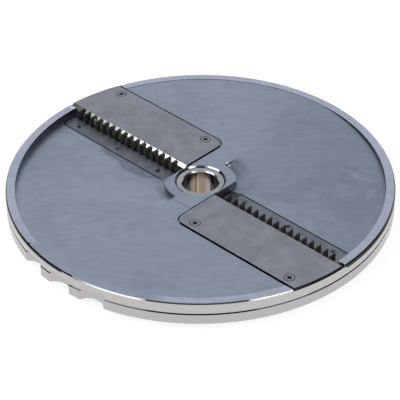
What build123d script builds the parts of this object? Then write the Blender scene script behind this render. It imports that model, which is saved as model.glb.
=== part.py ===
from build123d import *
from math import cos, radians, sin, tan
import os

# Matchstick slicing disc for a vegetable cutter, in millimetres, +Z up.
# The origin is the centre of the hub bush's lower end, on the turning axis.
# The two cutting units lie along X, unit 1 on the -X side and unit 2 on the +X side.
# Every unit is drawn on the +X side, comb towards +Y, and then turned into place.
# Seen from above the disc turns anticlockwise, so the food meets the comb first.

# Aluminium body
BODY_DIAMETER = 205.0
BODY_HEIGHT = 12.5
LIP_WIDTH = 4.9
LIP_BREAK = 0.6
SIDE_GROOVE_HEIGHT = 5.9
SIDE_GROOVE_WIDTH = 0.7
SIDE_GROOVE_DEPTH = 0.5
HUB_WALL = 1.5
HUB_HOLE_BREAK = 1.1
BOSS_WIDTH = 6.5

# Working face: a flat behind each blade, then a ramp down to the next comb
STICK_HEIGHT = 4.0
FLAT_STEP = 0.15
FLAT_BOSS_MARGIN = 2.3
RAMP_START = 90.0
RAMP_END = 25.5
RAMP_SECTIONS = 7
HOLLOW_DEPTH = 1.2
HOLLOW_WIDTH = 8.0
HOLLOW_SHARE = 0.7

# Notches in the lower part of the rim
NOTCH_ANGLES = (258.0, 270.0, 282.0)
NOTCH_RADIUS = 8.0
NOTCH_DEPTH = 4.4
NOTCH_HEIGHT = 8.7

# Hub bush
BORE_DIAMETER = 19.0
BUSH_WALL = 3.0
BUSH_STAND = 5.0
BUSH_SINK = 0.85
BUSH_BORE_BREAK = 0.6
DRIVE_SLOT_WIDTH = 6.0
DRIVE_SLOT_DEPTH = 3.5

# Blade plates
PLATE_THICKNESS = 1.5
PLATE_TILT = 0.4
PLATE_REAR = 33.5
PLATE_PROUD = 0.25
PLATE_INNER_GAP = 0.4
PLATE_CORNER = 5.0
PLATE_RIM_GAP = 0.7
BLADE_LINE = 2.6
BEVEL_WIDTH = 1.75
EDGE_LAND = 0.15
PLATE_SIDE_GAP = 1.0
PLATE_EDGE_GAP = 0.4
SEAT_WALL_RISE = 6.0

# Comb bars
BAR_THICKNESS = 2.5
BAR_INNER_GAP = 0.8
BAR_LIP_GAP = 1.1
BAR_FRONT = 9.55
BAR_REAR = -1.2
BAR_OUTER_CORNER = 3.5
BAR_SLANT_LENGTH = 5.7
BAR_SLANT_DROP = 1.8
BAR_GAP = 0.3

# Slots through the body
SLOT_END_MARGIN = 1.0
SLOT_BAR_SEAT = 7.55
SLOT_THROAT = 6.4
SLOT_SLOPE = 34.0
SLOT_FLARE = 8.0
SLOT_CORNER = 3.0

# Comb blades
COMB_COUNT = 16
COMB_INNER_MARGIN = 6.5
COMB_OUTER_MARGIN = 3.65
COMB_THICKNESS = 0.6
COMB_SEAT = 2.2
COMB_OVERLAP = 1.2
COMB_PROUD = 1.1
COMB_ROOT = 1.5
COMB_CLEARANCE = 0.2

# Blade screws, M3 countersunk, the head as deep as the plate is thick
BLADE_SCREW_INNER_INSET = 9.65
BLADE_SCREW_RIM_INSET = 12.9
BLADE_SCREW_REAR_INSET = 4.55
BLADE_SCREW_SHANK = 3.0
BLADE_SCREW_HEAD = 5.9
BLADE_SCREW_LENGTH = 8.0
BLADE_CROSS_SPAN = 3.0
BLADE_CROSS_WIDTH = 0.9
BLADE_CROSS_DEPTH = 1.0

# Comb screws, M2 countersunk
COMB_SCREW_INNER_INSET = 11.6
COMB_SCREW_OUTER_INSET = 9.3
COMB_SCREW_FRONT_INSET = 3.85
COMB_SCREW_SHANK = 2.0
COMB_SCREW_HEAD = 4.0
COMB_SCREW_HEAD_DEPTH = 1.0
COMB_SCREW_LENGTH = 7.0
COMB_SCREW_CLEARANCE = 0.15
COMB_CROSS_SPAN = 2.2
COMB_CROSS_WIDTH = 0.6
COMB_CROSS_DEPTH = 0.8

HOLE_RUN_OUT = 1.0
OVERRUN = 5.0

# Heights and radii that follow from the sizes above
UNDERSIDE = BUSH_STAND
LIP_LEVEL = UNDERSIDE + BODY_HEIGHT
FLAT_LEVEL = LIP_LEVEL - FLAT_STEP
COMB_LEVEL = LIP_LEVEL - STICK_HEIGHT
BAR_LEVEL = COMB_LEVEL - BAR_THICKNESS
COMB_ROOT_LEVEL = COMB_LEVEL - COMB_ROOT
BODY_RADIUS = BODY_DIAMETER / 2
FACE_RADIUS = BODY_RADIUS - LIP_WIDTH
PLATE_RADIUS = BODY_RADIUS - PLATE_RIM_GAP
BORE_RADIUS = BORE_DIAMETER / 2
BUSH_RADIUS = BORE_RADIUS + BUSH_WALL
BOSS_RADIUS = BUSH_RADIUS + BOSS_WIDTH
HOLLOW_RADIUS = BOSS_RADIUS + HOLLOW_WIDTH
REACH = BODY_RADIUS + OVERRUN
ABOVE = LIP_LEVEL + OVERRUN

# Places along and across a cutting unit that follow from the sizes above
SLOT_INNER = BUSH_RADIUS + HUB_WALL
PLATE_INNER = SLOT_INNER + PLATE_INNER_GAP
BAR_INNER = SLOT_INNER + BAR_INNER_GAP
BAR_OUTER = FACE_RADIUS - BAR_LIP_GAP
SLOT_OUTER = BAR_OUTER - SLOT_END_MARGIN
SLOT_FRONT = BAR_FRONT - SLOT_BAR_SEAT
SLOT_REAR = BLADE_LINE + SLOT_THROAT
COMB_FIRST = BAR_INNER + COMB_INNER_MARGIN
COMB_PITCH = (BAR_OUTER - COMB_OUTER_MARGIN - COMB_FIRST) / (COMB_COUNT - 1)
COMB_FRONT = BAR_REAR + COMB_SEAT
COMB_TAIL = BLADE_LINE + COMB_OVERLAP
BLADE_SCREW_PLACES = (PLATE_INNER + BLADE_SCREW_INNER_INSET, PLATE_RADIUS - BLADE_SCREW_RIM_INSET)
COMB_SCREW_ENDS = (BAR_INNER + COMB_SCREW_INNER_INSET, BAR_OUTER - COMB_SCREW_OUTER_INSET)
COMB_SCREW_PLACES = (COMB_SCREW_ENDS[0], sum(COMB_SCREW_ENDS) / 2, COMB_SCREW_ENDS[1])
COMB_SCREW_LINE = BAR_FRONT - COMB_SCREW_FRONT_INSET
UNIT_TURNS = {1: 180.0, 2: 0.0}

# The plate's own frame: origin on its upper rear edge, X along the edge, Y towards the blade
PLATE_FRAME = Pos(0, -PLATE_REAR, LIP_LEVEL + PLATE_PROUD) * Rot(PLATE_TILT, 0, 0)
PLATE_DEPTH = (PLATE_REAR - BLADE_LINE) / cos(radians(PLATE_TILT))


def turned(unit):
    """The turn that carries a piece drawn on the +X side to its unit."""
    return Rot(0, 0, UNIT_TURNS[unit])


def prism(outline, low, high):
    """A flat outline raised from one height to another."""
    return Pos(0, 0, low) * extrude(outline, high - low)


def drum(radius, low, high):
    """An upright cylinder on the axis."""
    return Pos(0, 0, low) * Cylinder(radius, high - low, align=(Align.CENTER, Align.CENTER, Align.MIN))


def block(x0, x1, y0, y1, z0, z1):
    """A box between three pairs of limits."""
    return Pos(x0, y0, z0) * Box(x1 - x0, y1 - y0, z1 - z0, align=(Align.MIN, Align.MIN, Align.MIN))


def side_profile(points, x0, x1):
    """A closed YZ outline run along X."""
    plane = Plane(origin=(x0, 0, 0), x_dir=(0, 1, 0), z_dir=(1, 0, 0))
    return extrude(plane * Polygon(*points, align=None), x1 - x0)


def turned_blank():
    """The turned aluminium disc with its lip break, side groove and hub hole."""
    groove = UNDERSIDE + SIDE_GROOVE_HEIGHT
    outline = [
        (BUSH_RADIUS, UNDERSIDE),
        (BODY_RADIUS, UNDERSIDE),
        (BODY_RADIUS, groove - SIDE_GROOVE_WIDTH / 2),
        (BODY_RADIUS - SIDE_GROOVE_DEPTH, groove),
        (BODY_RADIUS, groove + SIDE_GROOVE_WIDTH / 2),
        (BODY_RADIUS, LIP_LEVEL - LIP_BREAK),
        (BODY_RADIUS - LIP_BREAK, LIP_LEVEL),
        (BUSH_RADIUS + HUB_HOLE_BREAK, LIP_LEVEL),
        (BUSH_RADIUS, LIP_LEVEL - HUB_HOLE_BREAK),
    ]
    return revolve(Plane.XZ * Polygon(*outline, align=None), Axis.Z)


def flat_cut():
    """The shallow flat that runs from the rear of the other blade to the top of the ramp."""
    area = block(-REACH, 0, BOSS_RADIUS + FLAT_BOSS_MARGIN, REACH, FLAT_LEVEL, ABOVE)
    return area & drum(FACE_RADIUS, FLAT_LEVEL, ABOVE)


def ramp_section(share):
    """One radial section of the ramp: share 0 is the top of the ramp and 1 its foot."""
    angle = radians(RAMP_START + (RAMP_END - RAMP_START) * share)
    floor = FLAT_LEVEL + (COMB_LEVEL - FLAT_LEVEL) * share
    fade = max(0.0, 1 - share / HOLLOW_SHARE)
    slope = HOLLOW_DEPTH / HOLLOW_WIDTH
    inner = BOSS_RADIUS / 2
    hollow = slope * (HOLLOW_RADIUS - inner) * fade
    plane = Plane(origin=(0, 0, 0), x_dir=(cos(angle), sin(angle), 0), z_dir=(sin(angle), -cos(angle), 0))
    outline = [
        (inner, floor - hollow),
        (HOLLOW_RADIUS, floor),
        (REACH, floor),
        (REACH, ABOVE),
        (inner, ABOVE),
    ]
    return plane * Polygon(*outline, align=None)


def ramp_cut():
    """The helical ramp, from the flat down to the comb, outside the hub boss."""
    sections = [ramp_section(step / (RAMP_SECTIONS - 1)) for step in range(RAMP_SECTIONS)]
    boss = drum(BOSS_RADIUS, 0, ABOVE) & block(-REACH, SLOT_INNER, -REACH, REACH, 0, ABOVE)
    return (loft(sections) & drum(FACE_RADIUS, 0, ABOVE)) - boss


def comb_floor_cut():
    """The level floor in front of the comb, between the foot of the ramp and the blade."""
    rise = tan(radians(RAMP_END))
    front = -(BLADE_LINE - PLATE_EDGE_GAP)
    area = Polygon(
        (SLOT_INNER, front),
        (REACH, front),
        (REACH, REACH * rise),
        (SLOT_INNER, SLOT_INNER * rise),
        align=None,
    )
    return prism(area, COMB_LEVEL, ABOVE) & drum(FACE_RADIUS, COMB_LEVEL, ABOVE)


def bar_outline(gap=0.0):
    """The comb bar seen from above, grown by a gap for its pocket."""
    inner = SLOT_INNER if gap else BAR_INNER
    outer = BAR_OUTER + gap
    front = BAR_FRONT + gap
    slant_end = BAR_INNER + BAR_SLANT_LENGTH
    corner = BAR_OUTER_CORNER + gap
    slant_foot = front - BAR_SLANT_DROP * (slant_end - inner) / BAR_SLANT_LENGTH
    edges = [
        Line((inner, BAR_REAR), (outer, BAR_REAR)),
        Line((outer, BAR_REAR), (outer, front - corner)),
        CenterArc((outer - corner, front - corner), corner, 0, 90),
        Line((outer - corner, front), (slant_end, front)),
        Line((slant_end, front), (inner, slant_foot)),
        Line((inner, slant_foot), (inner, BAR_REAR)),
    ]
    return make_face(Curve() + edges)


def slot_cut():
    """The slot that lets the sticks fall through, leaning back under the blade."""
    drop = LIP_LEVEL - UNDERSIDE + OVERRUN
    top = LIP_LEVEL
    low = top - drop
    lean = drop * tan(radians(SLOT_SLOPE))
    flare = drop * tan(radians(SLOT_FLARE))
    outline = [
        (SLOT_FRONT, top),
        (-SLOT_REAR, top),
        (-SLOT_REAR - lean, low),
        (SLOT_FRONT + flare, low),
    ]
    slot = side_profile(outline, SLOT_INNER, SLOT_OUTER)
    rear_corners = slot.faces().sort_by(Axis.Y)[0].edges().filter_by(Axis.X, reverse=True)
    return fillet(rear_corners, SLOT_CORNER)


def plate_seat_cut():
    """The pocket that the blade plate lies in, open to the rim and to the slot."""
    inner = PLATE_INNER - PLATE_SIDE_GAP
    rear = -PLATE_SIDE_GAP
    front = PLATE_DEPTH + PLATE_EDGE_GAP
    corner = PLATE_CORNER + PLATE_SIDE_GAP
    area = make_face(
        Curve()
        + [
            Line((inner, front), (REACH, front)),
            Line((REACH, front), (REACH, rear)),
            Line((REACH, rear), (inner + corner, rear)),
            CenterArc((inner + corner, rear + corner), corner, 180, 90),
            Line((inner, rear + corner), (inner, front)),
        ]
    )
    return PLATE_FRAME * prism(area, -PLATE_THICKNESS, SEAT_WALL_RISE)


def notch_cut(angle):
    """One round notch in the lower part of the rim."""
    centre = BODY_RADIUS - NOTCH_DEPTH + NOTCH_RADIUS
    low = UNDERSIDE - OVERRUN
    cutter = drum(NOTCH_RADIUS, low, UNDERSIDE + NOTCH_HEIGHT)
    return Rot(0, 0, angle) * Pos(centre, 0, 0) * cutter


def screw_blank(shank, head, head_depth, length, clearance=0.0):
    """A countersunk screw without its recess, top face at the origin, pointing down."""
    reach = head_depth * (1 - clearance / ((head - shank) / 2))
    outline = [
        (0, 0),
        (head / 2, 0),
        (shank / 2 + clearance, -reach),
        (shank / 2 + clearance, -length),
        (0, -length),
    ]
    return revolve(Plane.XZ * Polygon(*outline, align=None), Axis.Z)


def cross_recess(span, width, depth):
    """The cross recess of a screw head."""
    arm = Box(span, width, depth, align=(Align.CENTER, Align.CENTER, Align.MAX))
    return arm + Rot(0, 0, 90) * arm


def tapped_hole(shank, length):
    """The hole in the body that a screw's shank fills, with its run-out below."""
    return Cylinder(shank / 2, length + HOLE_RUN_OUT, align=(Align.CENTER, Align.CENTER, Align.MAX))


def blade_screw_places():
    """Where the blade screws stand, on the upper face of the plate."""
    inward = BLADE_SCREW_REAR_INSET / cos(radians(PLATE_TILT))
    return [PLATE_FRAME * Pos(x, inward, 0) for x in BLADE_SCREW_PLACES]


def comb_screw_places():
    """Where the comb screws stand, on the upper face of the bar."""
    return [Pos(x, COMB_SCREW_LINE, COMB_LEVEL) for x in COMB_SCREW_PLACES]


def disc_body():
    """The aluminium body with both working faces, pockets, slots and tapped holes."""
    body = turned_blank()
    for unit in UNIT_TURNS:
        turn = turned(unit)
        for cut in (flat_cut(), ramp_cut(), comb_floor_cut(), plate_seat_cut(), slot_cut()):
            body -= turn * cut
        body -= turn * prism(bar_outline(BAR_GAP), BAR_LEVEL, ABOVE)
        for place in blade_screw_places():
            body -= turn * place * tapped_hole(BLADE_SCREW_SHANK, BLADE_SCREW_LENGTH)
        for place in comb_screw_places():
            body -= turn * place * tapped_hole(COMB_SCREW_SHANK, COMB_SCREW_LENGTH)
    for angle in NOTCH_ANGLES:
        body -= notch_cut(angle)
    return body


def hub_bush():
    """The pressed-in bush with the drive slot across its lower end."""
    top = LIP_LEVEL - BUSH_SINK
    outline = [
        (BORE_RADIUS, 0),
        (BUSH_RADIUS, 0),
        (BUSH_RADIUS, top),
        (BORE_RADIUS + BUSH_BORE_BREAK, top),
        (BORE_RADIUS, top - BUSH_BORE_BREAK),
    ]
    bush = revolve(Plane.XZ * Polygon(*outline, align=None), Axis.Z)
    half = DRIVE_SLOT_WIDTH / 2
    return bush - block(-REACH, REACH, -half, half, -OVERRUN, DRIVE_SLOT_DEPTH)


def blade_plate():
    """One blade plate: arc along the rim, rounded rear corner and ground cutting edge."""
    outline = Polygon(
        (PLATE_INNER, 0),
        (REACH, 0),
        (REACH, PLATE_DEPTH),
        (PLATE_INNER, PLATE_DEPTH),
        align=None,
    )
    plate = prism(outline, -PLATE_THICKNESS, 0)
    inner_rear = plate.edges().filter_by(Axis.Z).sort_by_distance((PLATE_INNER, 0, 0))[0]
    plate = fillet(inner_rear, PLATE_CORNER)
    bevel = [
        (PLATE_DEPTH - BEVEL_WIDTH, 0),
        (PLATE_DEPTH, EDGE_LAND - PLATE_THICKNESS),
        (PLATE_DEPTH + OVERRUN, EDGE_LAND - PLATE_THICKNESS),
        (PLATE_DEPTH + OVERRUN, OVERRUN),
        (PLATE_DEPTH - BEVEL_WIDTH, OVERRUN),
    ]
    plate -= side_profile(bevel, 0, REACH + OVERRUN)
    plate = PLATE_FRAME * plate & drum(PLATE_RADIUS, 0, ABOVE)
    for place in blade_screw_places():
        plate -= place * screw_blank(BLADE_SCREW_SHANK, BLADE_SCREW_HEAD, PLATE_THICKNESS, BLADE_SCREW_LENGTH)
    return plate


def comb_blade_outline():
    """One comb blade in the YZ plane: upright nose, level top and a tail over the bevel."""
    top = LIP_LEVEL + COMB_PROUD
    plate_edge = LIP_LEVEL + PLATE_PROUD + PLATE_DEPTH * sin(radians(PLATE_TILT)) - PLATE_THICKNESS
    bevel_rise = (PLATE_THICKNESS - EDGE_LAND) / BEVEL_WIDTH
    notch_line = BLADE_LINE - COMB_CLEARANCE
    notch_height = plate_edge + EDGE_LAND + COMB_CLEARANCE
    tail_height = notch_height + (COMB_TAIL - notch_line) * bevel_rise
    return [
        (COMB_FRONT, COMB_ROOT_LEVEL),
        (COMB_FRONT, top),
        (-COMB_TAIL, top),
        (-COMB_TAIL, tail_height),
        (-notch_line, notch_height),
        (-notch_line, plate_edge),
        (BAR_REAR, COMB_ROOT_LEVEL),
    ]


def comb_blade(index):
    """The comb blade with the given place along the bar."""
    x = COMB_FIRST + COMB_PITCH * index
    return side_profile(comb_blade_outline(), x - COMB_THICKNESS / 2, x + COMB_THICKNESS / 2)


def comb_bar():
    """One comb bar with a slit for each comb blade and three countersunk holes."""
    bar = prism(bar_outline(), BAR_LEVEL, COMB_LEVEL)
    half = COMB_THICKNESS / 2
    for index in range(COMB_COUNT):
        x = COMB_FIRST + COMB_PITCH * index
        bar -= block(x - half, x + half, BAR_REAR - OVERRUN, COMB_FRONT, COMB_ROOT_LEVEL, ABOVE)
    hole = screw_blank(
        COMB_SCREW_SHANK,
        COMB_SCREW_HEAD,
        COMB_SCREW_HEAD_DEPTH,
        COMB_SCREW_LENGTH,
        COMB_SCREW_CLEARANCE,
    )
    for place in comb_screw_places():
        bar -= place * hole
    return bar


def blade_screw():
    """One blade screw, upper face at the origin."""
    blank = screw_blank(BLADE_SCREW_SHANK, BLADE_SCREW_HEAD, PLATE_THICKNESS, BLADE_SCREW_LENGTH)
    return blank - cross_recess(BLADE_CROSS_SPAN, BLADE_CROSS_WIDTH, BLADE_CROSS_DEPTH)


def comb_screw():
    """One comb screw, upper face at the origin."""
    blank = screw_blank(COMB_SCREW_SHANK, COMB_SCREW_HEAD, COMB_SCREW_HEAD_DEPTH, COMB_SCREW_LENGTH)
    return blank - cross_recess(COMB_CROSS_SPAN, COMB_CROSS_WIDTH, COMB_CROSS_DEPTH)


def pieces():
    """Every node of the disc by name."""
    made = {"disc_body": disc_body(), "hub_bush": hub_bush()}
    for unit in UNIT_TURNS:
        turn = turned(unit)
        made[f"blade_plate_{unit}"] = turn * blade_plate()
        made[f"comb_bar_{unit}"] = turn * comb_bar()
        for index in range(COMB_COUNT):
            made[f"comb_blade_{unit}_{index + 1:02d}"] = turn * comb_blade(index)
        for number, place in enumerate(blade_screw_places(), 1):
            made[f"blade_screw_{unit}_{number}"] = turn * place * blade_screw()
        for number, place in enumerate(comb_screw_places(), 1):
            made[f"comb_screw_{unit}_{number}"] = turn * place * comb_screw()
    return made


os.makedirs("parts", exist_ok=True)
for name, piece in pieces().items():
    export_step(piece, f"parts/{name}.step")
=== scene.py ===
import math
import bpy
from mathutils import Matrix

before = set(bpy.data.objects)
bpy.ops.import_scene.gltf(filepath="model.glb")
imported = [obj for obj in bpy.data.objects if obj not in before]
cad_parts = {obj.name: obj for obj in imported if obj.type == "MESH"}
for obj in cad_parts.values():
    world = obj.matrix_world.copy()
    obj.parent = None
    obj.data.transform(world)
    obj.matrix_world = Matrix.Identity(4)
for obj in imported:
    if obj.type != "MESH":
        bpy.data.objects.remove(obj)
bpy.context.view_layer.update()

import bpy
from mathutils import Matrix, Vector

bl_info = {
    "name": "Matchstick slicing disc",
    "version": (1, 0, 0),
    "blender": (4, 5, 0),
    "location": "3D View > Sidebar > Slicing disc",
    "description": "Finishes a matchstick slicing disc and sets it on a studio floor",
    "category": "Object",
}

MM = 0.001
UNITS = (1, 2)
COMB_BLADES = range(1, 17)

# The cosine of an eighth of a turn
HALF_DIAGONAL = 0.707

# Measures of the disc, in millimetres
RIM = 102.5
LIP_WALL = 97.6
GROOVE_LOW = 10.6
GROOVE_HIGH = 11.2
BLADE_SCREW_X = (24.05, 88.9)
BLADE_SCREW_Y = 28.95
BAR_CORNER = (93.0, 6.05)

# Stretches round the axis, in degrees
# Arcs where the lamps' highlights fall on the edge breaks; elsewhere the breaks get a painted
# dark reflection
RIM_LIT_ARCS = ((-84, -62), (-32, -16))
HUB_LIT_ARCS = ((84, 122), (143, 174))
# Arcs where the lamps light the rim's groove, so its painted shade is lighter there
GROOVE_LIT_ARCS = ((-75, -63), (-29, -16))
# Where the painted dark reflection atop the rim's side is left off, and where it is wider
UNSHADED_SIDE = (-88, -2)
THICK_SHADE = (0, 80)
NICK = (-104.8, -104.3)

# Oval patches: middle x and y, half length and half width in millimetres, turn in degrees
DARK_PATCH_OVALS = ((-35, -11.8, 15, 5.2, 8), (-51, -10.8, 15, 3.2, 4))
SMEAR_OVALS = ((55, 63, 14, 3, 12), (70, 56, 7, 2.6, -70))
# Soft patch of painted shade beside the hub
HUB_SHADE_OVAL = (3, 23.5, 12, 7, -10)
RUBBED_OVAL = (-99.6, 6.5, 2.8, 8, 0)
# Painted highlight at the hub corner where a ramp starts
PIP_HIGHLIGHT_OVAL = (0, 21.3, 1.7, 0.6, 0)

# Colours of painted shade on the hub's walls, a rubbed spot on the lip, a painted highlight, bare
# metal on the combs, and painted reflections and shade in the bore
HUB_WALL_SHADE_COLOUR = (0.31, 0.295, 0.295, 1)
RUBBED_COLOUR = (0.85, 0.85, 0.86, 1)
PIP_HIGHLIGHT_COLOUR = (0.95, 0.95, 0.95, 1)
BARE_COMB_COLOUR = (0.21, 0.205, 0.155, 1)
# Painted reflections and shade in the bore, as bands by the angle round it
BORE_SHADE_COLOUR = (0.075, 0.07, 0.064, 1)
BORE_REFLECTION_BANDS = (
    (0.545, BORE_SHADE_COLOUR),
    (0.58, (0.40, 0.37, 0.34, 1)),
    (0.645, (0.38, 0.34, 0.31, 1)),
    (0.665, (0.33, 0.25, 0.21, 1)),
    (0.77, (0.35, 0.27, 0.21, 1)),
    (0.79, (0.55, 0.47, 0.36, 1)),
    (0.81, (0.30, 0.23, 0.16, 1)),
    (0.835, (0.20, 0.16, 0.11, 1)),
    (0.86, (0.34, 0.30, 0.23, 1)),
    (0.91, (0.27, 0.24, 0.18, 1)),
    (0.955, BORE_SHADE_COLOUR),
)

# Lamps: name, azimuth and elevation in degrees, width and height in metres
LAMPS = (
    ("lamp_left", 244.5, 45.2, 1.1, 0.42),
    ("lamp_right", 359.5, 47, 0.46, 0.3),
)

# Camera: the way back from the disc, the point it aims at in millimetres, its tip in degrees
CAMERA_BACK = (0.5601, -0.5760, 0.5954)
CAMERA_TARGET = (0.13, -0.57, 5.0)
CAMERA_TIP = -0.53

# Floor, walls and ceiling
BACK_WALL = (-0.695, 0.719, 0)
FLOOR_COLOUR = (0.3, 0.3, 0.3, 1)
FLOOR_GLOW = 0.84
CEILING_COLOUR = (0.10, 0.105, 0.115, 1)
WALL_COLOUR = (0.86, 0.92, 1, 1)
HORIZON_COLOUR = (1, 1, 1, 1)


# Settings


class DiscSettings(bpy.types.PropertyGroup):
    """Finish of the aluminium body."""

    face_colour: bpy.props.FloatVectorProperty(
        name="Face",
        description="Dulled aluminium of the two working faces",
        subtype="COLOR",
        size=4,
        min=0,
        max=1,
        default=(0.328, 0.361, 0.421, 1),
    )
    lip_colour: bpy.props.FloatVectorProperty(
        name="Lip",
        description="Top of the lip, rubbed a little brighter than the faces",
        subtype="COLOR",
        size=4,
        min=0,
        max=1,
        default=(0.49, 0.505, 0.585, 1),
    )
    side_colour: bpy.props.FloatVectorProperty(
        name="Side",
        description="Freshly turned aluminium on the side of the rim",
        subtype="COLOR",
        size=4,
        min=0,
        max=1,
        default=(0.505, 0.49, 0.475, 1),
    )
    face_roughness: bpy.props.FloatProperty(
        name="Face roughness",
        description="Roughness of the dulled faces",
        subtype="FACTOR",
        min=0,
        max=1,
        default=0.4,
    )
    cloud_size: bpy.props.FloatProperty(
        name="Cloud size",
        description="Width of the soft cloudy patches on the faces",
        subtype="DISTANCE",
        unit="LENGTH",
        min=0.002,
        max=0.1,
        default=0.026,
    )


class SteelSettings(bpy.types.PropertyGroup):
    """Finishes of the steel pieces."""

    bush_colour: bpy.props.FloatVectorProperty(
        name="Bush",
        description="Polished stainless steel of the hub bush",
        subtype="COLOR",
        size=4,
        min=0,
        max=1,
        default=(0.38, 0.38, 0.395, 1),
    )
    plate_colour: bpy.props.FloatVectorProperty(
        name="Blade plate",
        description="Satin steel of the blade plates",
        subtype="COLOR",
        size=4,
        min=0,
        max=1,
        default=(0.28, 0.286, 0.308, 1),
    )
    bevel_colour: bpy.props.FloatVectorProperty(
        name="Ground bevel",
        description="Freshly ground steel along the cutting edge",
        subtype="COLOR",
        size=4,
        min=0,
        max=1,
        default=(0.6, 0.6, 0.6, 1),
    )
    bar_colour: bpy.props.FloatVectorProperty(
        name="Comb bar",
        description="Satin steel of the comb bars",
        subtype="COLOR",
        size=4,
        min=0,
        max=1,
        default=(0.235, 0.25, 0.278, 1),
    )
    comb_colour: bpy.props.FloatVectorProperty(
        name="Comb blade",
        description="Darkened steel of the comb blades",
        subtype="COLOR",
        size=4,
        min=0,
        max=1,
        default=(0.068, 0.063, 0.047, 1),
    )
    screw_colour: bpy.props.FloatVectorProperty(
        name="Screws",
        description="Satin steel of the countersunk screws",
        subtype="COLOR",
        size=4,
        min=0,
        max=1,
        default=(0.27, 0.28, 0.29, 1),
    )


class StudioSettings(bpy.types.PropertyGroup):
    """Floor, lamps and camera of the stage."""

    floor_width: bpy.props.FloatProperty(
        name="Floor width",
        description="Width of the pale floor",
        subtype="DISTANCE",
        unit="LENGTH",
        min=1,
        default=12,
    )
    lamp_level: bpy.props.FloatProperty(
        name="Lamp level",
        description="How bright the soft lamps look, with white paper at 1",
        min=0,
        default=3.6,
    )
    lamp_distance: bpy.props.FloatProperty(
        name="Lamp distance",
        description="How far the soft lamps stand from the disc",
        subtype="DISTANCE",
        unit="LENGTH",
        min=0.3,
        default=1.3,
    )
    focal_length: bpy.props.FloatProperty(
        name="Focal length",
        description="Focal length of the camera in millimetres",
        min=20,
        default=182.4,
    )
    camera_distance: bpy.props.FloatProperty(
        name="Camera distance",
        description="How far the camera stands from the disc",
        subtype="DISTANCE",
        unit="LENGTH",
        min=0.3,
        default=1.075,
    )


# Building a material


def wire(tree, socket, value):
    """Gives a socket a value, or links another socket to it."""
    if isinstance(value, bpy.types.NodeSocket):
        tree.links.new(value, socket)
    else:
        socket.default_value = value


def maths(tree, operation, *values):
    """One sum on numbers."""
    made = tree.nodes.new("ShaderNodeMath")
    made.operation = operation
    for socket, value in zip(made.inputs, values):
        wire(tree, socket, value)
    return made.outputs[0]


def product(tree, first, *rest):
    """Several shares multiplied together."""
    for value in rest:
        first = maths(tree, "MULTIPLY", first, value)
    return first


def most(tree, first, *rest):
    """The greatest of several shares."""
    for value in rest:
        first = maths(tree, "MAXIMUM", first, value)
    return first


def left_over(tree, share):
    """What a share leaves of the whole."""
    return maths(tree, "SUBTRACT", 1, share)


def reach(tree, first, second):
    """The length of a flat step, from its two sides."""
    squares = [product(tree, side, side) for side in (first, second)]
    return maths(tree, "SQRT", maths(tree, "ADD", *squares))


def step(tree, value, start, end):
    """0 up to start and 1 from end on, smooth between them."""
    made = tree.nodes.new("ShaderNodeMapRange")
    made.interpolation_type = "SMOOTHSTEP"
    wire(tree, made.inputs["Value"], value)
    made.inputs["From Min"].default_value = start
    made.inputs["From Max"].default_value = end
    return made.outputs["Result"]


def spread(tree, value, low, high):
    """A share from 0 to 1 spread between two numbers."""
    made = tree.nodes.new("ShaderNodeMapRange")
    wire(tree, made.inputs["Value"], value)
    made.inputs["To Min"].default_value = low
    made.inputs["To Max"].default_value = high
    return made.outputs["Result"]


def band(tree, value, low, high, soft):
    """1 between two limits and 0 outside them."""
    return product(tree, step(tree, value, low - soft, low), step(tree, value, high + soft, high))


def bands(tree, value, limits, soft):
    """1 between any of several pairs of limits and 0 elsewhere."""
    return most(tree, *[band(tree, value, low, high, soft) for low, high in limits])


def blend_colours(tree, share, first, second):
    """One colour going over to another by a share."""
    made = tree.nodes.new("ShaderNodeMix")
    made.data_type = "RGBA"
    wire(tree, made.inputs[0], share)
    wire(tree, made.inputs[6], first)
    wire(tree, made.inputs[7], second)
    return made.outputs[2]


def blend_numbers(tree, share, first, second):
    """One number going over to another by a share."""
    made = tree.nodes.new("ShaderNodeMix")
    wire(tree, made.inputs[0], share)
    wire(tree, made.inputs[2], first)
    wire(tree, made.inputs[3], second)
    return made.outputs[0]


def shade(tree, share, colour, darkest):
    """A colour brought down to a share of itself."""
    made = tree.nodes.new("ShaderNodeMix")
    made.data_type = "RGBA"
    made.blend_type = "MULTIPLY"
    wire(tree, made.inputs[0], share)
    wire(tree, made.inputs[6], colour)
    made.inputs[7].default_value = (darkest, darkest, darkest, 1)
    return made.outputs[2]


def shades(tree, colour, *pairs):
    """A colour brought down in turn by pairs of a share and its darkest."""
    for share, darkest in pairs:
        colour = shade(tree, share, colour, darkest)
    return colour


def grain(tree, place, size, detail=2.0, stretch=(1, 1, 1)):
    """Soft noise whose lumps are the given number of millimetres wide."""
    scaled = tree.nodes.new("ShaderNodeVectorMath")
    scaled.operation = "MULTIPLY"
    wire(tree, scaled.inputs[0], place)
    scaled.inputs[1].default_value = [side / size for side in stretch]
    made = tree.nodes.new("ShaderNodeTexNoise")
    wire(tree, made.inputs["Vector"], scaled.outputs[0])
    made.inputs["Scale"].default_value = 1
    made.inputs["Detail"].default_value = detail
    return made.outputs["Fac"]


def turning_rings(tree, at):
    """Fine rings round the axis, as a lathe leaves them."""
    return grain(tree, at["point"], 0.25, 1, (0.01, 0.01, 1))


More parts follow.
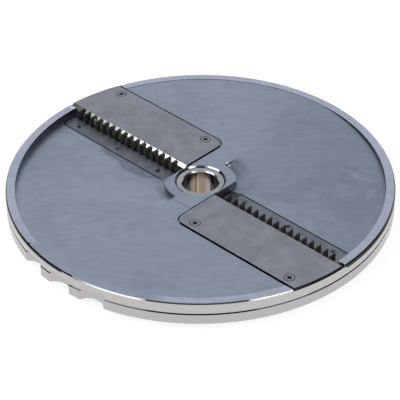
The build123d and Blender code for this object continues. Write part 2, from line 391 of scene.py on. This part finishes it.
def places(tree):
    """Where a point lies, in millimetres and degrees.

    Along and across are x and y without their sign.
    """
    source = tree.nodes.new("ShaderNodeTexCoord")
    scaled = tree.nodes.new("ShaderNodeVectorMath")
    scaled.operation = "MULTIPLY"
    wire(tree, scaled.inputs[0], source.outputs["Object"])
    scaled.inputs[1].default_value = (1 / MM, 1 / MM, 1 / MM)
    split = tree.nodes.new("ShaderNodeSeparateXYZ")
    wire(tree, split.inputs[0], scaled.outputs[0])
    x, y, z = split.outputs
    return {
        "point": scaled.outputs[0],
        "x": x,
        "y": y,
        "z": z,
        "along": maths(tree, "ABSOLUTE", x),
        "across": maths(tree, "ABSOLUTE", y),
        "radius": reach(tree, x, y),
        "angle": maths(tree, "DEGREES", maths(tree, "ARCTAN2", y, x)),
    }


def turned(tree, at):
    """The point turned an eighth of a turn about the axis."""
    made = tree.nodes.new("ShaderNodeCombineXYZ")
    along = product(tree, maths(tree, "ADD", at["x"], at["y"]), HALF_DIAGONAL)
    across = product(tree, maths(tree, "SUBTRACT", at["y"], at["x"]), HALF_DIAGONAL)
    for socket, value in zip(made.inputs, (along, across, at["z"])):
        wire(tree, socket, value)
    return made.outputs[0]


def facing(tree):
    """How far the surface faces up: 1 is level and 0 is upright."""
    geometry = tree.nodes.new("ShaderNodeNewGeometry")
    split = tree.nodes.new("ShaderNodeSeparateXYZ")
    wire(tree, split.inputs[0], geometry.outputs["Normal"])
    return split.outputs[2]


def spot(tree, at, x, y, long, wide, turn, soft=0.5):
    """1 within an oval patch, given by its middle, half sizes in millimetres and turn."""
    c = math.cos(math.radians(turn))
    s = math.sin(math.radians(turn))
    dx = maths(tree, "SUBTRACT", at["x"], x)
    dy = maths(tree, "SUBTRACT", at["y"], y)
    lengthwise = maths(tree, "ADD", product(tree, dx, c / long), product(tree, dy, s / long))
    sideways = maths(tree, "SUBTRACT", product(tree, dy, c / wide), product(tree, dx, s / wide))
    squares = [product(tree, side, side) for side in (lengthwise, sideways)]
    return step(tree, maths(tree, "ADD", *squares), 1, 1 - soft)


def bar_reach(tree, at):
    """How far a point lies past the middle of the comb bar's rounded outer corner."""
    past = [
        maths(tree, "MAXIMUM", maths(tree, "SUBTRACT", at[side], middle), 0)
        for side, middle in zip(("along", "across"), BAR_CORNER)
    ]
    return reach(tree, *past)


def metal(name):
    """A new metal material, its tree and its shader."""
    material = bpy.data.materials.new(name)
    material.use_nodes = True
    tree = material.node_tree
    shader = tree.nodes["Principled BSDF"]
    shader.inputs["Metallic"].default_value = 1
    return material, tree, shader


def roughen(tree, shader, height, depth):
    """Bump on a shader, its depth in millimetres."""
    bump = tree.nodes.new("ShaderNodeBump")
    bump.inputs["Distance"].default_value = depth * MM
    wire(tree, bump.inputs["Height"], height)
    wire(tree, shader.inputs["Normal"], bump.outputs["Normal"])


def finish_nodes(names, material):
    """Gives CAD nodes their material."""
    for name in names:
        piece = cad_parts[name]
        piece.data.materials.clear()
        piece.data.materials.append(material)


# Aluminium of the body


def edge_breaks(tree, at, up):
    """The broken edges of the rim and the hub's hole, and the arcs of them where the lamps'
    highlights fall.
    """
    slope = product(tree, step(tree, up, 0.3, 0.6), step(tree, up, 0.97, 0.93))
    rim_lit = bands(tree, at["angle"], RIM_LIT_ARCS, 1)
    hub_lit = bands(tree, at["angle"], HUB_LIT_ARCS, 2)
    inner_third = product(tree, rim_lit, step(tree, at["radius"], RIM - 0.32, RIM - 0.4))
    on_rim = step(tree, at["radius"], RIM - 0.9, RIM - 0.75)
    rim = product(tree, slope, on_rim, left_over(tree, inner_third))
    hub = product(tree, slope, step(tree, at["radius"], 13.8, 13.65))
    lit_arcs = maths(tree, "ADD", product(tree, rim, rim_lit), product(tree, hub, hub_lit))
    return maths(tree, "ADD", rim, hub), lit_arcs


def upright_wall_shade(tree, at, up):
    """How far the upright walls are darkened by painted shade, and the share of the hub's own
    walls, which take a painted shade colour instead.
    """
    inside_lip = step(tree, at["radius"], LIP_WALL + 0.3, LIP_WALL + 0.1)
    upright = product(tree, step(tree, up, 0.5, 0.2), inside_lip)
    hub = step(tree, at["radius"], 21, 20)
    lip_wall = step(tree, at["radius"], LIP_WALL - 0.8, LIP_WALL - 0.4)
    off_lip_wall = step(tree, lip_wall, 1, 0)
    flat_edge = product(tree, band(tree, at["across"], 21.2, 21.4, 0.05), off_lip_wall)
    wall_shade = product(tree, upright, left_over(tree, hub), left_over(tree, flat_edge))
    low_wall = product(tree, lip_wall, step(tree, at["z"], 16.5, 15.9))
    beside_axis = step(tree, at["along"], 0.3, 0.8)
    wall_shade = product(tree, wall_shade, spread(tree, low_wall, 1, 0.5), beside_axis)
    return wall_shade, product(tree, upright, hub)


def side_top_shade(tree, at, side):
    """A painted dark reflection along the top of the rim's side, wider over one stretch and left
    off over another.
    """
    unshaded = band(tree, at["angle"], *UNSHADED_SIDE, 1.5)
    thicker = band(tree, at["angle"], *THICK_SHADE, 1)
    height = maths(tree, "ADD", at["z"], product(tree, thicker, 0.9))
    return product(tree, side, step(tree, height, 15.8, 16.0), left_over(tree, unshaded))


def groove_shade(tree, at, side):
    """Painted shade in the groove turned in the rim's side and along its edges, lighter in the
    arcs where the lamps light the groove.
    """
    bottom = product(
        tree,
        band(tree, at["z"], GROOVE_LOW, GROOVE_HIGH, 0.05),
        step(tree, at["radius"], RIM - 0.02, RIM - 0.1),
        step(tree, at["radius"], RIM - 1, RIM - 0.6),
    )
    edges = product(
        tree,
        side,
        band(tree, at["z"], GROOVE_LOW - 0.2, GROOVE_HIGH + 0.2, 0.1),
        step(tree, at["radius"], RIM - 0.2, RIM - 0.1),
        0.8,
    )
    groove_lit = bands(tree, at["angle"], GROOVE_LIT_ARCS, 3)
    return product(tree, most(tree, bottom, edges), spread(tree, groove_lit, 1, 0.3))


def gap_shade(tree, at):
    """Painted shade in the gaps round the comb bars, the blade plates and the bush, and at the
    blade plates' outer corners.
    """
    quarter = product(tree, at["x"], at["y"])
    bar_gap = product(
        tree,
        band(tree, bar_reach(tree, at), 3.75, 4.0, 0.1),
        step(tree, quarter, 180, 220),
        step(tree, at["radius"], LIP_WALL - 0.2, LIP_WALL - 0.4),
    )
    plate_gap = product(
        tree,
        band(tree, at["across"], 33.4, 34.6, 0.1),
        step(tree, quarter, -640, -690),
        step(tree, at["radius"], RIM - 1, RIM - 1.5),
    )
    bush_gap = product(tree, step(tree, at["radius"], 12.95, 12.85), step(tree, at["z"], 14, 15))
    ends = [spot(tree, at, turn * 100.3, turn * -3, 2.4, 1.3, 0) for turn in (1, -1)]
    inside_rim = step(tree, at["radius"], RIM - 0.6, RIM - 0.9)
    plate_corner = product(tree, most(tree, *ends), inside_rim)
    return most(tree, bar_gap, plate_gap, bush_gap, plate_corner)


def nick_shade(tree, at):
    """Painted shade in one small nick in the lip's outer edge."""
    on_edge = band(tree, at["radius"], RIM - 1.2, RIM - 0.5, 0.2)
    return product(tree, on_edge, band(tree, at["angle"], *NICK, 0.3))


def ramp_shade(tree, at, up):
    """Painted shade where each ramp starts beside the hub, and a soft patch of painted shade
    beside the hub.
    """
    half_turn = maths(tree, "FLOORED_MODULO", at["angle"], 180)
    hollow = product(
        tree,
        step(tree, half_turn, 35, 80),
        step(tree, half_turn, 92, 90.5),
        step(tree, at["radius"], 25.5, 21),
        step(tree, at["radius"], 18.9, 19),
        step(tree, up, 0.5, 0.7),
    )
    hub_shade = product(
        tree,
        spot(tree, at, *HUB_SHADE_OVAL, 1),
        step(tree, at["radius"], 18.9, 19.3),
        0.55,
        step(tree, at["x"], -0.5, 1),
    )
    return most(tree, hollow, hub_shade)


def dark_patch(tree, at, patches):
    """A dark patch on the face, just off the far comb bar."""
    ovals = [spot(tree, at, *oval) for oval in DARK_PATCH_OVALS]
    off_bar = step(tree, at["y"], -9.6, -9.9)
    return product(tree, most(tree, *ovals), off_bar, spread(tree, patches, 0.4, 1.4))


def body_aluminium(disc):
    """Dulled, cloudy aluminium with a brighter lip and a turned side."""
    material, tree, shader = metal("body_aluminium")
    at = places(tree)
    up = facing(tree)
    cloud_size = disc.cloud_size / MM
    clouds = grain(tree, at["point"], cloud_size, 3)
    patches = grain(tree, at["point"], cloud_size / 3.5, 2)
    specks = grain(tree, at["point"], 0.7, 2)
    streaks = grain(tree, turned(tree, at), 3.2, 3, (0.38, 1, 1))
    mottle = maths(tree, "ADD", product(tree, clouds, 0.65), product(tree, patches, 0.35))

    lip = product(
        tree,
        step(tree, at["radius"], LIP_WALL - 0.3, LIP_WALL + 0.1),
        step(tree, at["z"], 17.2, 17.3),
        step(tree, up, 0.55, 0.93),
    )
    dull = product(tree, step(tree, at["angle"], -107, -101), step(tree, at["angle"], -54, -63))
    on_rim = step(tree, at["radius"], LIP_WALL + 0.1, LIP_WALL + 0.4)
    side = product(tree, on_rim, step(tree, up, 0.4, 0.2))
    breaks, lit_arcs = edge_breaks(tree, at, up)
    wall_shade, hub_wall_shade = upright_wall_shade(tree, at, up)
    top_shade = side_top_shade(tree, at, side)
    # Painted shade of the groove, the nick and the gaps between parts
    shade_lines = most(tree, groove_shade(tree, at, side), nick_shade(tree, at), gap_shade(tree, at))
    smears = [spot(tree, at, *oval, 0.9) for oval in SMEAR_OVALS]
    smear = product(tree, most(tree, *smears), patches, 0.3)
    rubbed = product(tree, lip, spot(tree, at, *RUBBED_OVAL, 0.8), 0.95)
    pip_highlight = spot(tree, at, *PIP_HIGHLIGHT_OVAL)

    # Painted shade: the faces are darker where x plus y grows from 20 to 120 mm
    slant = maths(tree, "ADD", at["x"], at["y"])
    colour = shade(tree, step(tree, slant, 20, 120), tuple(disc.face_colour), 0.84)
    bright_lip = product(tree, lip, spread(tree, dull, 1, 0.15))
    colour = blend_colours(tree, bright_lip, colour, tuple(disc.lip_colour))
    colour = shades(
        tree,
        colour,
        (step(tree, mottle, 0.56, 0.40), 0.9),
        (step(tree, streaks, 0.62, 0.36), 0.945),
        (specks, 0.92),
        (ramp_shade(tree, at, up), 0.55),
        (dark_patch(tree, at, patches), 0.64),
    )
    colour = blend_colours(tree, smear, colour, tuple(disc.lip_colour))
    colour = blend_colours(tree, most(tree, side, breaks), colour, tuple(disc.side_colour))
    colour = shades(
        tree,
        colour,
        (product(tree, side, step(tree, at["z"], 11, 10.4)), 0.94),
        # Painted dark reflection on the edge breaks, lighter in the arcs where the lamps'
        # highlights fall
        (maths(tree, "SUBTRACT", breaks, lit_arcs), 0.12),
        (lit_arcs, 0.7),
        # Painted shade on the upright walls
        (wall_shade, 0.25),
    )
    # Painted shade: the hub's upright walls take a darker, greyer colour
    colour = blend_colours(tree, hub_wall_shade, colour, HUB_WALL_SHADE_COLOUR)
    colour = blend_colours(tree, rubbed, colour, RUBBED_COLOUR)
    # Painted highlight: a near-white spot where the upper ramp starts beside the hub
    colour = blend_colours(tree, pip_highlight, colour, PIP_HIGHLIGHT_COLOUR)
    # Painted shade of the lines, and the painted dark reflection atop the side, which is also
    # made matt and not metallic
    colour = shades(tree, colour, (shade_lines, 0.06), (top_shade, 0.1))
    wire(tree, shader.inputs["Base Color"], colour)
    wire(tree, shader.inputs["Metallic"], left_over(tree, top_shade))

    rough = spread(tree, clouds, disc.face_roughness - 0.05, disc.face_roughness + 0.07)
    rough = blend_numbers(tree, side, rough, spread(tree, specks, 0.2, 0.3))
    rough = blend_numbers(tree, most(tree, breaks, pip_highlight), rough, spread(tree, specks, 0.07, 0.13))
    rough = blend_numbers(tree, top_shade, rough, 0.8)
    wire(tree, shader.inputs["Roughness"], rough)
    relief = maths(tree, "ADD", specks, product(tree, side, turning_rings(tree, at)))
    roughen(tree, shader, relief, 0.015)
    return material


# Steels of the bush, the plates, the combs and the screws


def bore_reflections(tree, at):
    """Painted reflections and shade that run down the bore, as bands by the angle round it."""
    ramp = tree.nodes.new("ShaderNodeValToRGB")
    stops = ramp.color_ramp.elements
    stops[0].position = 0.0
    stops[0].color = BORE_SHADE_COLOUR
    for place, colour in BORE_REFLECTION_BANDS:
        stops.new(place).color = colour
    stops[-1].color = BORE_SHADE_COLOUR
    turn = maths(tree, "FLOORED_MODULO", at["angle"], 180)
    wire(tree, ramp.inputs["Fac"], maths(tree, "DIVIDE", turn, 180))
    return ramp.outputs["Color"]


def bush_finish(steel):
    """Turned bush steel, with painted reflections and shade down its bore."""
    material, tree, shader = metal("bush_steel")
    at = places(tree)
    rings = turning_rings(tree, at)
    smears = grain(tree, at["point"], 6, 2)
    specks = grain(tree, at["point"], 0.9, 2)
    in_bore = step(tree, at["radius"], 9.8, 9.6)
    bore = product(tree, step(tree, facing(tree), 0.5, 0.2), in_bore)
    colour = shades(
        tree,
        tuple(steel.bush_colour),
        (step(tree, smears, 0.6, 0.4), 0.85),
        (step(tree, specks, 0.6, 0.35), 0.93),
    )
    # Painted reflections and shade down the bore
    colour = blend_colours(tree, bore, colour, bore_reflections(tree, at))
    wire(tree, shader.inputs["Base Color"], colour)
    wire(tree, shader.inputs["Roughness"], spread(tree, rings, 0.12, 0.24))
    roughen(tree, shader, rings, 0.006)
    return material


def plate_steel(steel):
    """Satin plate steel with faint round blotches and a bright ground bevel."""
    material, tree, shader = metal("blade_steel")
    at = places(tree)
    up = facing(tree)
    fine = grain(tree, at["point"], 0.35, 1, (0.15, 1, 1))
    smears = grain(tree, at["point"], 12, 3)
    cells = tree.nodes.new("ShaderNodeTexVoronoi")
    cells.inputs["Scale"].default_value = 0.12
    wire(tree, cells.inputs["Vector"], at["point"])
    blotch = step(tree, cells.outputs["Distance"], 0.55, 0.25)
    bevel = product(tree, step(tree, up, 0.9, 0.82), step(tree, up, 0.6, 0.7))
    # Painted shade: a thin dark line along the top edge of the ground bevel
    bevel_line = band(tree, at["across"], 4.35, 4.55, 0.1)
    colour = shades(
        tree,
        tuple(steel.plate_colour),
        (step(tree, smears, 0.6, 0.4), 0.86),
        (product(tree, blotch, 0.5), 0.84),
        (product(tree, bevel_line, step(tree, up, 0.9, 0.97)), 0.4),
    )
    colour = blend_colours(tree, bevel, colour, tuple(steel.bevel_colour))
    # Painted dark reflection on the bevel's outer ends, and partly on the bevel of the plate at
    # plus x
    bevel_end_shade = step(tree, at["along"], 90, 91.5)
    bevel_shade = most(tree, bevel_end_shade, product(tree, step(tree, at["x"], 0, 5), 0.6))
    colour = shades(
        tree,
        colour,
        (product(tree, bevel, bevel_shade), 0.3),
        # Painted shade on the plates' upright sides
        (step(tree, up, 0.5, 0.2), 0.12),
    )
    wire(tree, shader.inputs["Base Color"], colour)
    rough = spread(tree, smears, 0.3, 0.42)
    rough = maths(tree, "SUBTRACT", rough, product(tree, bevel, 0.2))
    wire(tree, shader.inputs["Roughness"], rough)
    roughen(tree, shader, fine, 0.004)
    return material


def satin_steel(name, colour, roughness, lump, shade_mask=None):
    """Satin steel with smears and fine grain, darkened where a mask says so."""
    material, tree, shader = metal(name)
    at = places(tree)
    smears = grain(tree, at["point"], lump, 3)
    fine = grain(tree, at["point"], 0.3, 1)
    colour = shade(tree, step(tree, smears, 0.62, 0.4), tuple(colour), 0.8)
    if shade_mask:
        # Painted shade, and for the comb screws a darker tone, where the mask says so
        colour = shade(tree, shade_mask(tree, at), colour, 0.2)
    wire(tree, shader.inputs["Base Color"], colour)
    rough = spread(tree, smears, roughness - 0.04, roughness + 0.08)
    wire(tree, shader.inputs["Roughness"], rough)
    roughen(tree, shader, fine, 0.004)
    return material


def bar_shade(tree, at):
    """Painted shade between the comb blades, along the bar's edge, at one bar's inner end and on
    the upright sides.
    """
    between = step(tree, at["across"], 1.2, 0.2)
    edge = step(tree, bar_reach(tree, at), 3.15, 3.3)
    inner_end = product(tree, step(tree, at["x"], 21.6, 20.6), step(tree, at["x"], 0, 1), 0.7)
    sides = step(tree, facing(tree), 0.5, 0.2)
    return most(tree, between, edge, inner_end, sides)


def screw_shade(tree, at):
    """Painted shade in the recesses and round the blade screws' heads, and darker heads on the
    comb bars.
    """
    across = maths(tree, "SUBTRACT", at["across"], BLADE_SCREW_Y)
    ends = [maths(tree, "SUBTRACT", at["along"], x) for x in BLADE_SCREW_X]
    nearest = maths(tree, "MINIMUM", *[maths(tree, "ABSOLUTE", end) for end in ends])
    ring = band(tree, reach(tree, across, nearest), 2.55, 3.2, 0.2)
    plate_recess = step(tree, at["z"], 17.6, 17.4)
    on_plate = product(tree, step(tree, at["z"], 14.0, 14.5), most(tree, ring, plate_recess))
    low = step(tree, at["z"], 14.5, 14.0)
    bar_recess = product(tree, step(tree, at["z"], 13.45, 13.35), low)
    return most(tree, on_plate, bar_recess, product(tree, low, 0.6))


def comb_finish(steel):
    """Darkened comb blades, with small bare patches between dried juice."""
    material = satin_steel("comb_steel", steel.comb_colour, 0.45, 3)
    tree = material.node_tree
    shader = tree.nodes["Principled BSDF"]
    shader.inputs["Metallic"].default_value = 0.5
    dark = shader.inputs["Base Color"].links[0].from_socket
    flecks = grain(tree, places(tree)["point"], 1.2, 2)
    bare = product(tree, step(tree, flecks, 0.54, 0.68), 0.8)
    colour = blend_colours(tree, bare, dark, BARE_COMB_COLOUR)
    wire(tree, shader.inputs["Base Color"], colour)
    return material


# Pieces


class SLICINGDISC_OT_body(bpy.types.Operator):
    """Finish the aluminium body."""

    bl_idname = "slicingdisc.body"
    bl_label = "Body"
    bl_options = {"REGISTER", "UNDO"}

    def execute(self, context):
        finish_nodes(["disc_body"], body_aluminium(context.scene.slicing_disc))
        return {"FINISHED"}


class SLICINGDISC_OT_bush(bpy.types.Operator):
    """Finish the hub bush."""

    bl_idname = "slicingdisc.bush"
    bl_label = "Hub bush"
    bl_options = {"REGISTER", "UNDO"}

    def execute(self, context):
        steel = context.scene.slicing_disc_steel
        finish_nodes(["hub_bush"], bush_finish(steel))
        return {"FINISHED"}


class SLICINGDISC_OT_plates(bpy.types.Operator):
    """Finish the two blade plates."""

    bl_idname = "slicingdisc.plates"
    bl_label = "Blade plates"
    bl_options = {"REGISTER", "UNDO"}

    def execute(self, context):
        names = [f"blade_plate_{unit}" for unit in UNITS]
        finish_nodes(names, plate_steel(context.scene.slicing_disc_steel))
        return {"FINISHED"}


class SLICINGDISC_OT_combs(bpy.types.Operator):
    """Finish the comb bars and their upright blades."""

    bl_idname = "slicingdisc.combs"
    bl_label = "Combs"
    bl_options = {"REGISTER", "UNDO"}

    def execute(self, context):
        steel = context.scene.slicing_disc_steel
        bars = [f"comb_bar_{unit}" for unit in UNITS]
        blades = [f"comb_blade_{unit}_{number:02d}" for unit in UNITS for number in COMB_BLADES]
        bar_steel = satin_steel("bar_steel", steel.bar_colour, 0.5, 8, bar_shade)
        finish_nodes(bars, bar_steel)
        finish_nodes(blades, comb_finish(steel))
        return {"FINISHED"}


class SLICINGDISC_OT_screws(bpy.types.Operator):
    """Finish the blade screws and the comb screws."""

    bl_idname = "slicingdisc.screws"
    bl_label = "Screws"
    bl_options = {"REGISTER", "UNDO"}

    def execute(self, context):
        steel = context.scene.slicing_disc_steel
        names = [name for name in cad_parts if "_screw_" in name]
        screw_steel = satin_steel("screw_steel", steel.screw_colour, 0.25, 2, screw_shade)
        finish_nodes(names, screw_steel)
        return {"FINISHED"}


# Stage


def floor_white():
    """Pale floor that keeps the disc's shadow; its glow is left off beneath the disc as a painted
    shadow, but for the near edge and under the bore.
    """
    material = bpy.data.materials.new("studio_floor")
    material.use_nodes = True
    tree = material.node_tree
    shader = tree.nodes["Principled BSDF"]
    shader.inputs["Base Color"].default_value = FLOOR_COLOUR
    shader.inputs["Roughness"].default_value = 0.9
    shader.inputs["Specular IOR Level"].default_value = 0
    seen = tree.nodes.new("ShaderNodeLightPath")
    kinds = ("Is Camera Ray", "Is Glossy Ray", "Is Transmission Ray")
    rays = most(tree, *[seen.outputs[kind] for kind in kinds])
    glow = tree.nodes.new("ShaderNodeEmission")
    at = places(tree)
    near = step(tree, maths(tree, "SUBTRACT", at["x"], at["y"]), -60, -20)
    # Painted shadow: the floor's glow is left off beneath the disc
    clear = most(
        tree,
        step(tree, at["radius"], RIM - 1, RIM + 0.5),
        product(tree, near, step(tree, at["radius"], 88, 95)),
        step(tree, at["radius"], 9.4, 9.0),
    )
    wire(tree, glow.inputs["Strength"], product(tree, rays, clear, FLOOR_GLOW))
    both = tree.nodes.new("ShaderNodeAddShader")
    wire(tree, both.inputs[0], shader.outputs[0])
    wire(tree, both.inputs[1], glow.outputs[0])
    output = tree.nodes["Material Output"]
    wire(tree, output.inputs["Surface"], both.outputs[0])
    return material


def studio_world():
    """Pale walls that go over to a darker, slightly blue ceiling."""
    world = bpy.data.worlds.new("studio")
    world.use_nodes = True
    tree = world.node_tree
    background = tree.nodes["Background"]
    source = tree.nodes.new("ShaderNodeTexCoord")
    split = tree.nodes.new("ShaderNodeSeparateXYZ")
    wire(tree, split.inputs[0], source.outputs["Generated"])
    facing_back = tree.nodes.new("ShaderNodeVectorMath")
    facing_back.operation = "DOT_PRODUCT"
    wire(tree, facing_back.inputs[0], source.outputs["Generated"])
    facing_back.inputs[1].default_value = BACK_WALL
    depth = facing_back.outputs["Value"]
    walls = most(tree, step(tree, depth, 0.25, 0.6), step(tree, depth, -0.3, -0.5))
    horizon = step(tree, split.outputs[2], 0.3, 0.06)
    colour = blend_colours(tree, walls, CEILING_COLOUR, WALL_COLOUR)
    colour = blend_colours(tree, horizon, colour, HORIZON_COLOUR)
    wire(tree, background.inputs["Color"], colour)
    return world


def soft_lamp(studio, name, azimuth, elevation, width, height):
    """A soft lamp that faces the disc."""
    data = bpy.data.lights.new(name, "AREA")
    data.shape = "RECTANGLE"
    data.size = width
    data.size_y = height
    data.energy = studio.lamp_level * math.pi * width * height
    lamp = bpy.data.objects.new(name, data)
    bpy.context.scene.collection.objects.link(lamp)
    turn = math.radians(azimuth)
    rise = math.radians(elevation)
    flat = math.cos(rise)
    away = Vector((math.cos(turn) * flat, math.sin(turn) * flat, math.sin(rise)))
    lamp.location = away * studio.lamp_distance
    lamp.rotation_euler = away.to_track_quat("Z", "Y").to_euler()


def aim_camera(studio):
    """A long lens that looks down on the disc from one side."""
    data = bpy.data.cameras.new("camera")
    data.lens = studio.focal_length
    data.sensor_width = 36
    data.clip_end = 100
    camera = bpy.data.objects.new("camera", data)
    bpy.context.scene.collection.objects.link(camera)
    back = Vector(CAMERA_BACK).normalized()
    level = Vector((0, 0, 1)).cross(back).normalized()
    up = back.cross(level)
    tip = math.radians(CAMERA_TIP)
    right = level * math.cos(tip) + up * math.sin(tip)
    over = up * math.cos(tip) - level * math.sin(tip)
    place = Vector(CAMERA_TARGET) * MM + back * studio.camera_distance
    turn = Matrix((right, over, back)).transposed()
    camera.matrix_world = Matrix.Translation(place) @ turn.to_4x4()
    bpy.context.scene.camera = camera


class SLICINGDISC_OT_stage(bpy.types.Operator):
    """Set the floor, the walls, the lamps and the camera."""

    bl_idname = "slicingdisc.stage"
    bl_label = "Stage"
    bl_options = {"REGISTER", "UNDO"}

    def execute(self, context):
        studio = context.scene.slicing_disc_studio
        half = studio.floor_width / 2
        mesh = bpy.data.meshes.new("floor")
        corners = [(-half, -half, 0), (half, -half, 0), (half, half, 0), (-half, half, 0)]
        mesh.from_pydata(corners, [], [(0, 1, 2, 3)])
        mesh.materials.append(floor_white())
        floor = bpy.data.objects.new("floor", mesh)
        context.scene.collection.objects.link(floor)
        context.scene.world = studio_world()
        for lamp in LAMPS:
            soft_lamp(studio, *lamp)
        aim_camera(studio)
        context.scene.view_settings.view_transform = "Standard"
        return {"FINISHED"}


class SLICINGDISC_PT_panel(bpy.types.Panel):
    """Lists the pieces of the slicing disc and their settings."""

    bl_idname = "SLICINGDISC_PT_panel"
    bl_label = "Slicing disc"
    bl_space_type = "VIEW_3D"
    bl_region_type = "UI"
    bl_category = "Slicing disc"

    def draw(self, context):
        for operator in OPERATORS:
            self.layout.operator(operator.bl_idname)
        for name, kind in SETTINGS.items():
            box = self.layout.box()
            for prop in kind.__annotations__:
                box.prop(getattr(context.scene, name), prop)


OPERATORS = (
    SLICINGDISC_OT_body,
    SLICINGDISC_OT_bush,
    SLICINGDISC_OT_plates,
    SLICINGDISC_OT_combs,
    SLICINGDISC_OT_screws,
    SLICINGDISC_OT_stage,
)
SETTINGS = {
    "slicing_disc": DiscSettings,
    "slicing_disc_steel": SteelSettings,
    "slicing_disc_studio": StudioSettings,
}


def register():
    """Registers the settings, the operators and the panel."""
    for kind in (*SETTINGS.values(), *OPERATORS, SLICINGDISC_PT_panel):
        bpy.utils.register_class(kind)
    for name, kind in SETTINGS.items():
        setattr(bpy.types.Scene, name, bpy.props.PointerProperty(type=kind))


def unregister():
    """Takes the panel, the operators and the settings away again."""
    for name in SETTINGS:
        delattr(bpy.types.Scene, name)
    for kind in (SLICINGDISC_PT_panel, *reversed(OPERATORS), *SETTINGS.values()):
        bpy.utils.unregister_class(kind)


def main():
    """Makes every piece in order."""
    register()
    bpy.ops.slicingdisc.body()
    bpy.ops.slicingdisc.bush()
    bpy.ops.slicingdisc.plates()
    bpy.ops.slicingdisc.combs()
    bpy.ops.slicingdisc.screws()
    bpy.ops.slicingdisc.stage()
    bpy.context.view_layer.update()


if __name__ == "__main__":
    main()
